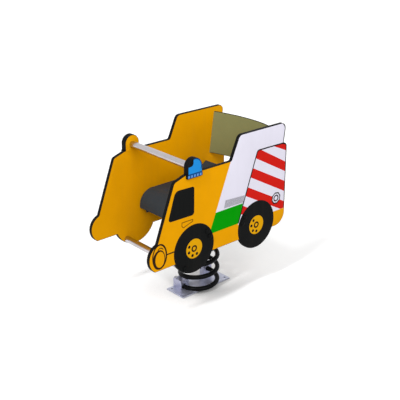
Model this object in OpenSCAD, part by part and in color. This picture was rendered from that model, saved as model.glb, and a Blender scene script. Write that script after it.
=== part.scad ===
/* [Side panels] */
// Clear distance between the two side panels
panel_gap = 434; // [400:1:480]
// Thickness of a side panel
panel_t = 19; // [13:0.5:22]
// Diameter of the round wheels in the panel outline
wheel_d = 250; // [235:1:265]
// Distance between the wheel centres
wheelbase = 416; // [400:1:440]
// Front wheel centre ahead of the spring axis
front_axle_ahead = 238; // [225:1:250]
// Sill below the wheel centres
sill_drop = 47; // [35:1:60]
// Cab roof above the wheel centres
cab_h = 380; // [365:1:400]
// Load box roof above the cab roof
box_rise = 118; // [90:1:160]
// Tail of the panel behind the rear wheel centre
tail_len = 205; // [190:1:230]
// Rear end of the load box roof ahead of the tail
tail_lean = 9; // [0:1:16]
// Waist of the tail above the cab roof
waist_rise = 12; // [0:1:24]
// Waist of the tail ahead of its rear end
waist_in = 24; // [18:1:32]
// Top front corner of the load box ahead of the rear wheel centre
box_front_ahead = 128; // [110:1:145]
// Foot of the step ahead of the rear wheel centre
step_ahead = 181; // [165:1:205]
// Front end of the level cab roof ahead of the front wheel centre
brow_ahead = 50; // [48:1:70]
// Shoulder of the cab ahead of the front wheel centre
shoulder_ahead = 118; // [105:1:130]
// Shoulder of the cab below the cab roof
shoulder_fall = 22; // [18:1:40]
// Foot of the windscreen pillar ahead of the front wheel centre
pillar_ahead = 221; // [205:1:235]
// Foot of the windscreen pillar above the wheel centres
pillar_h = 85; // [75:1:95]
// Centre of the round nose ahead of the front wheel centre
nose_ahead = 197; // [185:1:210]
// Centre of the round nose above the wheel centres
nose_h = 15; // [8:1:22]
// Radius of the round nose
nose_r = 73; // [68:0.5:80]
// Corner radius at the low end of the tail
tail_low_r = 66; // [40:1:90]
// Corner radius at the high end of the tail
tail_top_r = 30; // [15:1:45]
// Corner radius at the top front of the load box
box_front_r = 28; // [10:1:40]
// Fillet radius at the foot of the step
step_r = 12; // [4:1:20]
// Corner radius of the cab shoulder
shoulder_r = 22; // [8:1:30]

/* [Beacons] */
// Centre of the beacon dome ahead of the front wheel centre
dome_ahead = 4; // [0:1:5]
// Centre of the beacon dome above the cab roof
dome_rise = 32; // [25:1:45]
// Radius of the beacon dome
dome_r = 42; // [38:0.5:43]
// Thickness of a beacon plate
beacon_t = 13; // [11:0.5:18]
// Width of the beacon skirt
skirt_w = 92; // [88:1:100]
// Height of the beacon skirt
skirt_h = 20; // [14:1:26]
// Lower edge of the beacon skirt below the cab roof
skirt_drop = 19; // [15:1:25]

/* [Hand and foot bars] */
// Outside diameter of the bars
bar_d = 33.7; // [30:0.1:38]
// Wall of the bars
bar_wall = 2.6; // [2:0.1:3.2]
// Handlebar above the cab roof
grip_rise = 26; // [20:1:32]
// Bolt ring inside the edge of each wheel
ring_inset = 20; // [18:1:27]
// Angle of the footrest on the front wheel's bolt ring
footrest_angle = 237; // [225:1:250]
// Angle of the higher rail bolt on the bolt ring
high_bolt_angle = 38; // [34:1:42]
// Angle of the lower rail bolt on the bolt ring
low_bolt_angle = 20; // [16:1:22]
// Depth of the threaded plug in each bar end
plug_len = 26; // [22:1:40]

/* [Frame] */
// Outside width of the square cross rails
rail_w = 40; // [35:1:45]
// Wall of the cross rails
rail_wall = 3; // [2:0.5:4]
// Cross rail centre behind the front axle and ahead of the rear axle
rail_inset = 112; // [108:1:116]
// Underside of the cross rails above the wheel centres
rail_over_axle = 41.4; // [36:0.2:46]
// Thickness of the rail end plates
end_plate_t = 6; // [4:0.5:8]
// Length of the spring head plate
head_len = 300; // [280:2:330]
// Thickness of the spring head plate
head_t = 8; // [6:0.5:10]
// Width of a seat bearer
bearer_w = 40; // [32:1:50]
// Plate thickness of a seat bearer
bearer_t = 4; // [3:0.5:5]
// Bearer centre from the middle of the rider
bearer_y = 140; // [100:1:170]

/* [Seat and backrest] */
// Top of the seat above the wheel centres
seat_over_axle = 152; // [146:1:165]
// Thickness of the seat sheet
seat_t = 8; // [5:0.5:10]
// Front face of the seat lip behind the front wheel centre
lip_behind = 30; // [24:1:34]
// Radius of the rolled seat front
roll_r = 80; // [70:1:82]
// Straight part of the lip below the roll
lip_len = 13; // [6:1:20]
// Start of the seat's rise ahead of the rear wheel centre
rise_ahead = 116; // [106:1:126]
// Radius of the rise at the back of the seat
rise_r = 315; // [290:1:340]
// Angle that the rise turns through
rise_angle = 35.6; // [30:0.2:38]
// Height of the backrest sheet
back_h = 226; // [200:1:240]
// Thickness of the backrest sheet
back_t = 8; // [6:0.5:10]
// Radius of the backrest's front face
back_r = 437; // [420:1:480]
// Foot of the backrest at the panels behind the rear wheel centre
back_behind = 93; // [84:1:96]
// Foot of the backrest above the wheel centres
back_foot_h = 247.5; // [240:0.5:260]
// Backward lean of the backrest
back_lean = 8; // [5:0.5:9]

/* [Spring] */
// Outside diameter of the coil
spring_od = 218; // [206:1:224]
// Diameter of the spring wire
wire_d = 24; // [19:0.5:26]
// Rise of one full turn
spring_pitch = 70; // [62:0.5:78]
// Whole turns, less the angles cut off at both ends
whole_turns = 6; // [5:1:7]
// Angle at which the wire starts
start_angle = 140; // [136:1:146]
// Turns over which each end runs into the full pitch
ease_turns = 0.45; // [0.4:0.05:0.6]

/* [Base] */
// Length of the base plate
base_len = 328; // [310:2:360]
// Width of the base plate and the head plate
base_w = 128; // [120:1:140]
// Thickness of the base plate
base_t = 6; // [5:0.5:10]
// Anchor hole spacing along the base
anchor_dx = 290; // [270:1:300]
// Anchor hole spacing across the base
anchor_dy = 88; // [70:1:96]
// Anchor hole diameter
anchor_d = 13; // [9:0.5:15]
// Length of a clamp block along the base
clamp_len = 54; // [52:1:58]
// Clamp block beyond the outside of the coil
clamp_wall = 10; // [9:0.5:14]
// Near face of the clamp block at the wire's end from the middle of the base
clamp_near = 5; // [4:0.5:6]
// Near face of the clamp block half a turn on from the middle of the base
far_clamp_near = 30; // [26:1:32]
// Clamp metal above the wire at its end
clamp_cover = 22; // [14:1:28]
// Clamp metal above the wire half a turn on
far_clamp_cover = 14; // [10:1:20]

/* [Hidden] */
$fn = 96;
overrun = 1;
seat_side_gap = 0.5;
wire_gap = 0.3;
thread_gap = 0.2;

// Spring: mean radius, total turns and the height of the wire along it
wire_r = wire_d / 2;
mean_r = (spring_od - wire_d) / 2;
turns = whole_turns + (180 - 2 * start_angle) / 360;
rings_per_turn = 24;
ring_count = ceil(turns * rings_per_turn);
wire_sides = 6;
wire_low_z = base_t + wire_gap + wire_r;
wire_high_z = wire_low_z + spring_pitch * (turns - ease_turns);
spring_mid_z = (wire_low_z + wire_high_z) / 2;
head_z = wire_high_z + wire_r + wire_gap;

// Clamp blocks and their bolts
clamp_out = spring_od / 2 + clamp_wall;
clamp_in = clamp_out - clamp_len;
clamp_far = base_w / 2;
clamp_bolt_d = 10;
clamp_bolt_edge = 9;
clamp_bolt_inner_edge = 6;
clamp_bolt_near_edge = 7;
clamp_head_af = 17;
clamp_head_h = 6.4;
front_clamp_turn = (180 - start_angle) / 360;
rear_clamp_first = (360 + asin(far_clamp_near / mean_r) - start_angle) / 360;
rear_clamp_turn = (360 + asin(min(1, clamp_far / mean_r)) - start_angle) / 360;
groove_gap = 1.2;
groove_r = wire_r + groove_gap;
slot_half_w = wire_r + 2 * wire_gap;

// Rider frame: heights that stand on the spring head
rail_z = head_z + head_t;
axle_z = rail_z - rail_over_axle;
front_axle_x = -front_axle_ahead;
rear_axle_x = front_axle_x + wheelbase;
front_rail_x = front_axle_x + rail_inset;
rear_rail_x = rear_axle_x - rail_inset;
end_plate_edge = 13;

// Places on the panel that go with the wheels, the cab roof or the rear axle
ring_r = wheel_d / 2 - ring_inset;
box_h = cab_h + box_rise;
shoulder_h = cab_h - shoulder_fall;
dome_h = cab_h + dome_rise;
grip_h = cab_h + grip_rise;
box_front = wheelbase - box_front_ahead;
step_back = wheelbase - step_ahead;
waist_h = cab_h + waist_rise;
waist_r_share = 0.9;
waist_r = waist_in * waist_r_share;

// Panel bolts and caps
bolt_d = 10;
bolt_head_d = 20;
bolt_head_h = 5.5;
bolt_hole_d = bolt_d + 2 * thread_gap;
cap_d = 25;
cap_h = 9;
cap_gap = 0.3;
cap_lip = 2;
bar_bolt_reach = 20;
plug_gap = 0.2;
front_wheel_bolts = [high_bolt_angle, low_bolt_angle];

// Beacon screws
beacon_screw_d = 5;
beacon_screw_head_d = 9;
beacon_screw_head_h = 2.6;
beacon_screw_depth = 7;
beacon_screw_share = 0.62;

// Seat sheet and its bolts
seat_w = panel_gap - 2 * seat_side_gap;
seat_top_z = axle_z + seat_over_axle;
roll_x = front_axle_x + lip_behind + roll_r;
roll_z = seat_top_z - roll_r;
rise_x = rear_axle_x - rise_ahead;
arc_steps = 20;
bearer_x0 = roll_x;
bearer_len = rear_rail_x + rail_w / 2 - bearer_x0;
bearer_z = rail_z + rail_w;
bearer_h = seat_top_z - seat_t - bearer_z;
seat_bolt_d = 8;
seat_bolt_head_d = 20;
seat_bolt_head_h = 4.5;
seat_nut_af = 13;
seat_nut_h = 6.5;
seat_bolt_from_roll = 30;
seat_bolt_from_rise = 19;
seat_bolt_rows = [roll_x + seat_bolt_from_roll, rise_x - seat_bolt_from_rise];

// Backrest sheet, brackets and screws
back_centre = -sqrt(back_r * back_r - panel_gap * panel_gap / 4);
back_half_w = panel_gap / 2 - seat_side_gap;
bracket_t = 4;
bracket_gap = 0.15;
bracket_leg = 46;
bracket_h_share = 0.6;
bracket_screw_d = 6;
bracket_head_d = 11;
bracket_head_h = 3.4;
bracket_screw_depth = 8;
back_screw_depth = 5;
back_screw_in = 26;
bracket_screw_back = 30;
bracket_screw_shares = [0.2, 0.8];
bracket_h = back_h * bracket_h_share;
bracket_z = (back_h - bracket_h) / 2;
back_screw_angle = asin((panel_gap / 2 - back_screw_in) / (back_r + back_t));

// Colours of the finishes
yellow = [0.91, 0.63, 0.03];
blue = [0.16, 0.55, 0.81];
charcoal = [0.23, 0.23, 0.24];
olive = [0.51, 0.51, 0.33];
black = [0.09, 0.09, 0.1];
zinc = [0.62, 0.63, 0.66];
stainless = [0.76, 0.76, 0.78];

// Points of an arc about a centre, from one angle to another
function arc(centre, r, from, to, steps = arc_steps) =
    [for (i = [0:steps]) let (a = from + (to - from) * i / steps) centre + r * [cos(a), sin(a)]];

// Arc that rounds the corner at b of the path a, b, c
function corner(a, b, c, r) =
    r <= 0 ? [b] :
    let (u = (a - b) / norm(a - b), v = (c - b) / norm(c - b))
    let (half = acos(u * v) / 2, w = (u + v) / norm(u + v))
    let (centre = b + w * r / sin(half))
    let (p = b + u * r / tan(half) - centre, q = b + v * r / tan(half) - centre)
    let (from = atan2(p[1], p[0]), turn = atan2(q[1], q[0]) - from)
    let (sweep = turn > 180 ? turn - 360 : turn < -180 ? turn + 360 : turn)
    arc(centre, r, from, from + sweep);

// Outline through points, each rounded by its own radius
function rounded(points, radii) =
    let (n = len(points))
    [for (i = [0:n - 1]) each corner(points[(i + n - 1) % n], points[i], points[(i + 1) % n], radii[i])];

// Height of the wire centre after a number of turns: flat at both ends, full pitch between
function end_rise(u) = u < 0 ? 0 : u < ease_turns ? u * u / (2 * ease_turns) : u - ease_turns / 2;
function wire_z(u) =
    u < turns / 2
    ? wire_low_z + spring_pitch * end_rise(u)
    : wire_high_z - spring_pitch * end_rise(turns - u);
// Slope of the wire at that turn, level at both ends
function end_pace(u) = u < 0 ? 0 : min(1, u / ease_turns);
function wire_slope(u) = atan2(spring_pitch * end_pace(min(u, turns - u)), 360 * mean_r * PI / 180);
function wire_centre(u) =
    let (a = start_angle + 360 * u) [mean_r * cos(a), mean_r * sin(a), wire_z(u)];

// Ring of points round the wire, square to its run
function wire_ring(u, r) =
    let (step = 1 / (4 * rings_per_turn), run = wire_centre(u + step) - wire_centre(u - step))
    let (a = start_angle + 360 * u, out = [cos(a), sin(a), 0], up = cross(out, run / norm(run)))
    [for (k = [0:wire_sides - 1]) let (b = 360 * (k + 0.5) / wire_sides)
        wire_centre(u) + r * (cos(b) * out + sin(b) * up)];

// Closed tube of triangles through rings from one turn to another
module wire_tube(from, to, steps, r) {
    n = wire_sides;
    points = [for (i = [0:steps]) each wire_ring(from + (to - from) * i / steps, r)];
    sides = [for (i = [0:steps - 1], k = [0:n - 1])
        let (a = i * n + k, b = i * n + (k + 1) % n)
        each [[a, a + n, b], [b, a + n, b + n]]];
    first = [for (k = [1:n - 2]) [0, k, k + 1]];
    last = [for (k = [1:n - 2]) [steps * n, steps * n + k + 1, steps * n + k]];
    polyhedron(points = points, faces = concat(sides, first, last));
}

// Least gap of the coil to itself, measured between centres half a turn or more apart
coil_points = [for (i = [0:ring_count]) wire_centre(turns * i / ring_count)];
coil_gap = min([for (i = [0:ring_count], j = [i + rings_per_turn / 2:1:ring_count])
    norm(coil_points[i] - coil_points[j])]) - wire_d;
echo(coil_least_gap_mm = coil_gap);

// Places a left-hand piece on the left or, mirrored, on the right
module on_side(right) {
    if (right)
        mirror([0, 1, 0]) children();
    else
        children();
}

// Lays a flat outline in the plane of the side, its thickness running outwards from y
module upright(y, t) {
    translate([0, -y, 0]) rotate([90, 0, 0]) linear_extrude(t) children();
}

// Cylinder along Y, running outwards to the left from y
module crosswise(x, y, z, r, len) {
    translate([x, -y, z]) rotate([90, 0, 0]) cylinder(r = r, h = len);
}

// Turns a lower end fitting over to the upper end of the spring
module turned_over() {
    translate([0, 0, 2 * spring_mid_z]) rotate([0, 180, 0]) children();
}

// Hexagon bar by its width across the flats
module hexagon(af, h) {
    cylinder(d = af / cos(30), h = h, $fn = 6);
}

// Near face of a clamp block, front or rear
function clamp_face(side) = side < 0 ? clamp_near : far_clamp_near;
// Places of the two bolts of a clamp block, front or rear
function clamp_bolts(side) = [
    [side * (clamp_out - clamp_bolt_edge), clamp_far - clamp_bolt_edge],
    [side * (clamp_in + clamp_bolt_inner_edge), clamp_face(side) + clamp_bolt_near_edge]
];
// Turn at which the wire leaves a block, the turn at the middle of its hold, and the top of the block
function clamp_turn(side) = side < 0 ? front_clamp_turn : rear_clamp_turn;
function clamp_hold(side) = clamp_turn(side) / 2 + (side < 0 ? 0 : rear_clamp_first / 2);
function clamp_top(side) =
    wire_z(clamp_turn(side)) + wire_r + (side < 0 ? clamp_cover : far_clamp_cover);

// Round groove along the wire: a ring tilted to the wire's slope where the clamp holds it
module wire_groove(u) {
    translate([0, 0, wire_z(u)]) rotate([0, 0, start_angle + 360 * u]) rotate([wire_slope(u), 0, 0])
        rotate_extrude() translate([mean_r, 0]) circle(r = groove_r);
}

// Level groove for the end of the wire, open down to the plate
module end_groove(u) {
    rotate_extrude() {
        translate([mean_r, wire_z(u)]) circle(r = groove_r);
        translate([mean_r - slot_half_w, 0]) square([2 * slot_half_w, wire_z(u)]);
    }
}

// Block on the end plate, grooved for the wire
module clamp_block(side) {
    top = clamp_top(side);
    hold = clamp_hold(side);
    difference() {
        translate([side < 0 ? -clamp_out : clamp_in, clamp_face(side), base_t])
            cube([clamp_len, clamp_far - clamp_face(side), top - base_t]);
        if (side < 0)
            end_groove(hold);
        else
            wire_groove(hold);
        for (p = clamp_bolts(side))
            translate([p[0], p[1], 0]) cylinder(d = clamp_bolt_d + 2 * thread_gap, h = top + overrun);
    }
}

// Hexagon bolts down through both blocks into the end plate
module clamp_bolt_set() {
    for (side = [-1, 1], p = clamp_bolts(side)) {
        translate([p[0], p[1], thread_gap]) cylinder(d = clamp_bolt_d, h = clamp_top(side));
        translate([p[0], p[1], clamp_top(side)]) hexagon(clamp_head_af, clamp_head_h);
    }
}

// Threaded holes for the clamp bolts, cut through an end plate from z
module clamp_bolt_holes(z, t) {
    for (side = [-1, 1], p = clamp_bolts(side))
        translate([p[0], p[1], z - overrun])
            cylinder(d = clamp_bolt_d + 2 * thread_gap, h = t + 2 * overrun);
}

module base_plate() {
    color(zinc)
        difference() {
            translate([-base_len / 2, -base_w / 2, 0]) cube([base_len, base_w, base_t]);
            for (sx = [-1, 1], sy = [-1, 1])
                translate([sx * anchor_dx / 2, sy * anchor_dy / 2, -overrun])
                    cylinder(d = anchor_d, h = base_t + 2 * overrun);
            clamp_bolt_holes(0, base_t);
        }
}

module lower_front_clamp() {
    color(zinc) clamp_block(-1);
}

module lower_rear_clamp() {
    color(zinc) clamp_block(1);
}

module lower_clamp_bolts() {
    color(stainless) clamp_bolt_set();
}

module coil_spring() {
    color(black) wire_tube(0, turns, ring_count, wire_r);
}

module upper_front_clamp() {
    color(zinc) turned_over() clamp_block(1);
}

module upper_rear_clamp() {
    color(zinc) turned_over() clamp_block(-1);
}

module upper_clamp_bolts() {
    color(stainless) turned_over() clamp_bolt_set();
}

module head_plate() {
    color(charcoal)
        difference() {
            translate([-head_len / 2, -base_w / 2, head_z]) cube([head_len, base_w, head_t]);
            turned_over() clamp_bolt_holes(base_t - head_t, head_t);
        }
}

// Places of the two bolts of a rail end, round the wheel that it stands behind or before
function rail_bolts(front) = [for (a = front_wheel_bolts)
    [(front ? front_axle_x + ring_r * cos(a) : rear_axle_x - ring_r * cos(a)), axle_z + ring_r * sin(a)]];

// Square tube between the panels with a bolted plate at each end
module rail(front) {
    x = front ? front_rail_x : rear_rail_x;
    bolts = rail_bolts(front);
    plate_x0 = min(x - rail_w / 2, min([for (p = bolts) p[0]]) - end_plate_edge);
    plate_x1 = max(x + rail_w / 2, max([for (p = bolts) p[0]]) + end_plate_edge);
    plate_z0 = min(rail_z, min([for (p = bolts) p[1]]) - end_plate_edge);
    plate_z1 = max(rail_z + rail_w, max([for (p = bolts) p[1]]) + end_plate_edge);
    inner = rail_w - 2 * rail_wall;
    color(charcoal)
        difference() {
            union() {
                translate([x - rail_w / 2, -panel_gap / 2 + end_plate_t, rail_z])
                    cube([rail_w, panel_gap - 2 * end_plate_t, rail_w]);
                for (y = [-panel_gap / 2, panel_gap / 2 - end_plate_t])
                    translate([plate_x0, y, plate_z0])
                        cube([plate_x1 - plate_x0, end_plate_t, plate_z1 - plate_z0]);
            }
            translate([x - inner / 2, -panel_gap / 2 + end_plate_t, rail_z + rail_wall])
                cube([inner, panel_gap - 2 * end_plate_t, inner]);
            for (p = bolts, right = [false, true])
                on_side(right)
                    crosswise(p[0], panel_gap / 2 - end_plate_t - overrun, p[1], bolt_hole_d / 2,
                        end_plate_t + 2 * overrun);
        }
}

module front_rail() {
    rail(true);
}

module rear_rail() {
    rail(false);
}

// Inverted channel along the rails that carries the seat
module bearer(right) {
    color(charcoal)
        on_side(right)
            difference() {
                translate([bearer_x0, -bearer_y - bearer_w / 2, bearer_z])
                    cube([bearer_len, bearer_w, bearer_h]);
                translate([bearer_x0 - overrun, -bearer_y - bearer_w / 2 + bearer_t, bearer_z - overrun])
                    cube([bearer_len + 2 * overrun, bearer_w - 2 * bearer_t,
                        bearer_h - bearer_t + overrun]);
                for (x = seat_bolt_rows)
                    translate([x, -bearer_y, bearer_z])
                        cylinder(d = seat_bolt_d + 2 * thread_gap, h = bearer_h + overrun);
            }
}

module left_bearer() {
    bearer(false);
}

module right_bearer() {
    bearer(true);
}

// Section of the seat sheet: lip, rolled front, flat and rising back
function seat_section() = concat(
    [[roll_x - roll_r, roll_z - lip_len]],
    arc([roll_x, roll_z], roll_r, 180, 90),
    arc([rise_x, seat_top_z + rise_r], rise_r, -90, -90 + rise_angle),
    arc([rise_x, seat_top_z + rise_r], rise_r + seat_t, -90 + rise_angle, -90),
    arc([roll_x, roll_z], roll_r - seat_t, 90, 180),
    [[roll_x - roll_r + seat_t, roll_z - lip_len]]
);

module seat() {
    color(charcoal)
        difference() {
            upright(-seat_w / 2, seat_w) polygon(seat_section());
            for (x = seat_bolt_rows, right = [false, true])
                on_side(right)
                    translate([x, -bearer_y, seat_top_z - seat_t - overrun])
                        cylinder(d = seat_bolt_d + 2 * thread_gap, h = seat_t + 2 * overrun);
        }
}

// Round-headed bolts through the seat, with nuts under the bearers
module seat_bolts() {
    dome_ball = (seat_bolt_head_d * seat_bolt_head_d / 4 + seat_bolt_head_h * seat_bolt_head_h)
        / (2 * seat_bolt_head_h);
    nut_z = seat_top_z - seat_t - bearer_t - seat_nut_h;
    color(stainless)
        for (x = seat_bolt_rows, right = [false, true])
            on_side(right)
                translate([x, -bearer_y, 0]) {
                    translate([0, 0, nut_z]) cylinder(d = seat_bolt_d, h = seat_top_z - nut_z);
                    translate([0, 0, nut_z]) hexagon(seat_nut_af, seat_nut_h);
                    translate([0, 0, seat_top_z])
                        intersection() {
                            translate([0, 0, seat_bolt_head_h - dome_ball]) sphere(r = dome_ball);
                            cylinder(d = seat_bolt_head_d, h = seat_bolt_head_h);
                        }
                }
}

// Truck outline about the front wheel centre: cab, load box, wheels, nose and beacon dome
module panel_outline() {
    nose = [-nose_ahead, nose_h];
    points = [
        [-nose_ahead, -sill_drop],
        [wheelbase + tail_len, -sill_drop],
        [wheelbase + tail_len, waist_h],
        [wheelbase + tail_len - waist_in, waist_h],
        [wheelbase + tail_len - tail_lean, box_h],
        [box_front, box_h],
        [step_back, cab_h],
        [-brow_ahead, cab_h],
        [-shoulder_ahead, shoulder_h],
        [-pillar_ahead, pillar_h],
        nose
    ];
    radii = [0, tail_low_r, waist_r, 0, tail_top_r, box_front_r, step_r, 0, shoulder_r, 0, 0];
    polygon(rounded(points, radii));
    intersection() {
        translate(nose) circle(r = nose_r);
        translate([-nose_ahead - nose_r, -sill_drop]) square([nose_r, 2 * nose_r + sill_drop]);
    }
    for (x = [0, wheelbase])
        translate([x, 0]) circle(d = wheel_d);
    translate([-dome_ahead, dome_h]) circle(r = dome_r);
    translate([-dome_ahead - dome_r, shoulder_h]) square([2 * dome_r, dome_h - shoulder_h]);
}

// Places of the bolts that show on a panel, under caps
function footrest_place() =
    [front_axle_x + ring_r * cos(footrest_angle), axle_z + ring_r * sin(footrest_angle)];
function handlebar_place() = [front_axle_x - dome_ahead, axle_z + grip_h];
function capped_bolts() = concat(rail_bolts(true), rail_bolts(false), [footrest_place()]);
function panel_bolts() = concat(capped_bolts(), [handlebar_place()]);
function beacon_screw_places() = [for (side = [-1, 1])
    [front_axle_x - dome_ahead + side * beacon_screw_share * dome_r, axle_z + cab_h]];

module panel(right) {
    color(yellow)
        on_side(right)
            difference() {
                translate([front_axle_x, 0, axle_z]) upright(panel_gap / 2, panel_t) panel_outline();
                for (p = panel_bolts())
                    crosswise(p[0], panel_gap / 2 - overrun, p[1], bolt_hole_d / 2, panel_t + 2 * overrun);
                for (p = beacon_screw_places())
                    crosswise(p[0], panel_gap / 2 - overrun, p[1], beacon_screw_d / 2 + thread_gap,
                        panel_t + 2 * overrun);
                in_back_frame() bracket_screws(thread_gap, overrun);
            }
}

module left_panel() {
    panel(false);
}

module right_panel() {
    panel(true);
}

// Button bolts through a panel into the rails and the bar plugs
module side_bolts(right) {
    face = panel_gap / 2 + panel_t;
    color(stainless)
        on_side(right) {
            for (p = concat(rail_bolts(true), rail_bolts(false)))
                crosswise(p[0], panel_gap / 2 - end_plate_t, p[1], bolt_d / 2, panel_t + end_plate_t);
            for (p = [footrest_place(), handlebar_place()])
                crosswise(p[0], panel_gap / 2 - bar_bolt_reach, p[1], bolt_d / 2, panel_t + bar_bolt_reach);
            for (p = panel_bolts())
                crosswise(p[0], face, p[1], bolt_head_d / 2, bolt_head_h);
        }
}

module left_panel_bolts() {
    side_bolts(false);
}

module right_panel_bolts() {
    side_bolts(true);
}

// Half section of a domed cap that snaps over a bolt head
module cap_section() {
    inner = bolt_head_d / 2 + cap_gap;
    cavity = bolt_head_h + cap_gap;
    polygon(concat(
        [[inner, 0], [cap_d / 2, 0], [cap_d / 2, cap_lip]],
        [for (a = [0:90 / arc_steps:90])
            [cap_d / 2 * cos(a), cap_lip + (cap_h - cap_lip) * sin(a)]],
        [[0, cavity], [inner, cavity]]
    ));
}

module bolt_caps(right) {
    color(black)
        on_side(right)
            for (p = capped_bolts())
                translate([p[0], -panel_gap / 2 - panel_t, p[1]])
                    rotate([90, 0, 0]) rotate_extrude() cap_section();
}

module left_bolt_caps() {
    bolt_caps(false);
}

module right_bolt_caps() {
    bolt_caps(true);
}

// Beacon plate on the outside of a panel, pocketed over the handlebar bolt
module beacon(right) {
    dome = [front_axle_x - dome_ahead, axle_z + dome_h];
    skirt_z = axle_z + cab_h - skirt_drop;
    bar = handlebar_place();
    color(blue)
        on_side(right)
            difference() {
                upright(panel_gap / 2 + panel_t, beacon_t) {
                    translate(dome) circle(r = dome_r);
                    translate([dome[0] - dome_r, skirt_z]) square([2 * dome_r, dome[1] - skirt_z]);
                    translate([dome[0] - skirt_w / 2, skirt_z]) square([skirt_w, skirt_h]);
                }
                crosswise(bar[0], panel_gap / 2 + panel_t - overrun, bar[1], bolt_head_d / 2 + cap_gap,
                    bolt_head_h + cap_gap + overrun);
                for (p = beacon_screw_places())
                    crosswise(p[0], panel_gap / 2 + panel_t - overrun, p[1], beacon_screw_d / 2 + thread_gap,
                        beacon_screw_depth + overrun + thread_gap);
            }
}

module left_beacon() {
    beacon(false);
}

module right_beacon() {
    beacon(true);
}

// Pan-headed screws from inside the panel into the beacon plate
module beacon_screws(right) {
    color(stainless)
        on_side(right)
            for (p = beacon_screw_places()) {
                crosswise(p[0], panel_gap / 2, p[1], beacon_screw_d / 2, panel_t + beacon_screw_depth);
                crosswise(p[0], panel_gap / 2 - beacon_screw_head_h, p[1], beacon_screw_head_d / 2,
                    beacon_screw_head_h);
            }
}

module left_beacon_screws() {
    beacon_screws(false);
}

module right_beacon_screws() {
    beacon_screws(true);
}

// Tube across the rider, from panel to panel
module bar(place) {
    color(stainless)
        difference() {
            crosswise(place[0], -panel_gap / 2, place[1], bar_d / 2, panel_gap);
            crosswise(place[0], -panel_gap / 2 - overrun, place[1], bar_d / 2 - bar_wall,
                panel_gap + 2 * overrun);
        }
}

// Threaded plugs in both ends of a tube
module bar_plugs(place) {
    color(zinc)
        for (right = [false, true])
            on_side(right)
                difference() {
                    crosswise(place[0], panel_gap / 2 - plug_len, place[1], bar_d / 2 - bar_wall - plug_gap,
                        plug_len);
                    crosswise(place[0], panel_gap / 2 - plug_len - overrun, place[1], bolt_hole_d / 2,
                        plug_len + 2 * overrun);
                }
}

module handlebar() {
    bar(handlebar_place());
}

module handlebar_plugs() {
    bar_plugs(handlebar_place());
}

module footrest() {
    bar(footrest_place());
}

module footrest_plugs() {
    bar_plugs(footrest_place());
}

// Puts a piece drawn upright at the foot of the backrest into its leaning place
module in_back_frame() {
    translate([rear_axle_x + back_behind, 0, axle_z + back_foot_h]) rotate([0, back_lean, 0]) children();
}

// Plan of the backrest: a band of a circle that bulges to the rear
module back_plan() {
    intersection() {
        translate([back_centre, 0])
            difference() {
                circle(r = back_r + back_t, $fn = 2 * $fn);
                circle(r = back_r, $fn = 2 * $fn);
            }
        translate([0, -back_half_w]) square([back_r, 2 * back_half_w]);
    }
}

// Screws of one bracket into the panel, at the left end of the backrest; holes are wider and run past
module bracket_screws(extra, past) {
    leg_y = panel_gap / 2 - bracket_t;
    for (s = bracket_screw_shares)
        crosswise(bracket_screw_back, leg_y - past, bracket_z + s * bracket_h, bracket_screw_d / 2 + extra,
            past + bracket_t + bracket_screw_depth + extra);
}

// Screws of one bracket into the back of the sheet; holes are wider and run past
module back_sheet_screws(extra, past) {
    for (s = bracket_screw_shares)
        translate([back_centre, 0, bracket_z + s * bracket_h]) rotate([0, 0, -back_screw_angle])
            translate([back_r + back_t - back_screw_depth - extra, 0, 0])
                rotate([0, 90, 0])
                    cylinder(d = bracket_screw_d + 2 * extra,
                        h = back_screw_depth + bracket_t + bracket_gap + extra + past);
}

module backrest() {
    color(olive)
        in_back_frame()
            difference() {
                linear_extrude(back_h) back_plan();
                for (right = [false, true])
                    on_side(right) back_sheet_screws(thread_gap, overrun);
            }
}

// Bent strip behind the backrest: one leg follows the sheet, the other lies on the panel
module back_bracket(right) {
    outer_r = back_r + back_t + bracket_gap;
    color(charcoal)
        on_side(right)
            in_back_frame()
                difference() {
                    translate([0, 0, bracket_z])
                        linear_extrude(bracket_h)
                            difference() {
                                union() {
                                    intersection() {
                                        translate([back_centre, 0])
                                            circle(r = outer_r + bracket_t, $fn = 2 * $fn);
                                        translate([0, -panel_gap / 2]) square([bracket_leg, bracket_leg]);
                                    }
                                    translate([0, -panel_gap / 2]) square([bracket_leg, bracket_t]);
                                }
                                translate([back_centre, 0]) circle(r = outer_r, $fn = 2 * $fn);
                            }
                    bracket_screws(thread_gap, overrun);
                    back_sheet_screws(thread_gap, overrun);
                }
}

module left_back_bracket() {
    back_bracket(false);
}

module right_back_bracket() {
    back_bracket(true);
}

// Screws with flat heads that hold one bracket to the panel and to the sheet
module back_screws(right) {
    leg_y = panel_gap / 2 - bracket_t;
    head_r = back_r + back_t + bracket_gap + bracket_t;
    color(stainless)
        on_side(right)
            in_back_frame() {
                bracket_screws(0, 0);
                back_sheet_screws(0, 0);
                for (s = bracket_screw_shares) {
                    z = bracket_z + s * bracket_h;
                    crosswise(bracket_screw_back, leg_y - bracket_head_h, z, bracket_head_d / 2,
                        bracket_head_h);
                    translate([back_centre, 0, z]) rotate([0, 0, -back_screw_angle])
                        translate([head_r, 0, 0]) rotate([0, 90, 0])
                            cylinder(d = bracket_head_d, h = bracket_head_h);
                }
            }
}

module left_back_screws() {
    back_screws(false);
}

module right_back_screws() {
    back_screws(true);
}

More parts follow.
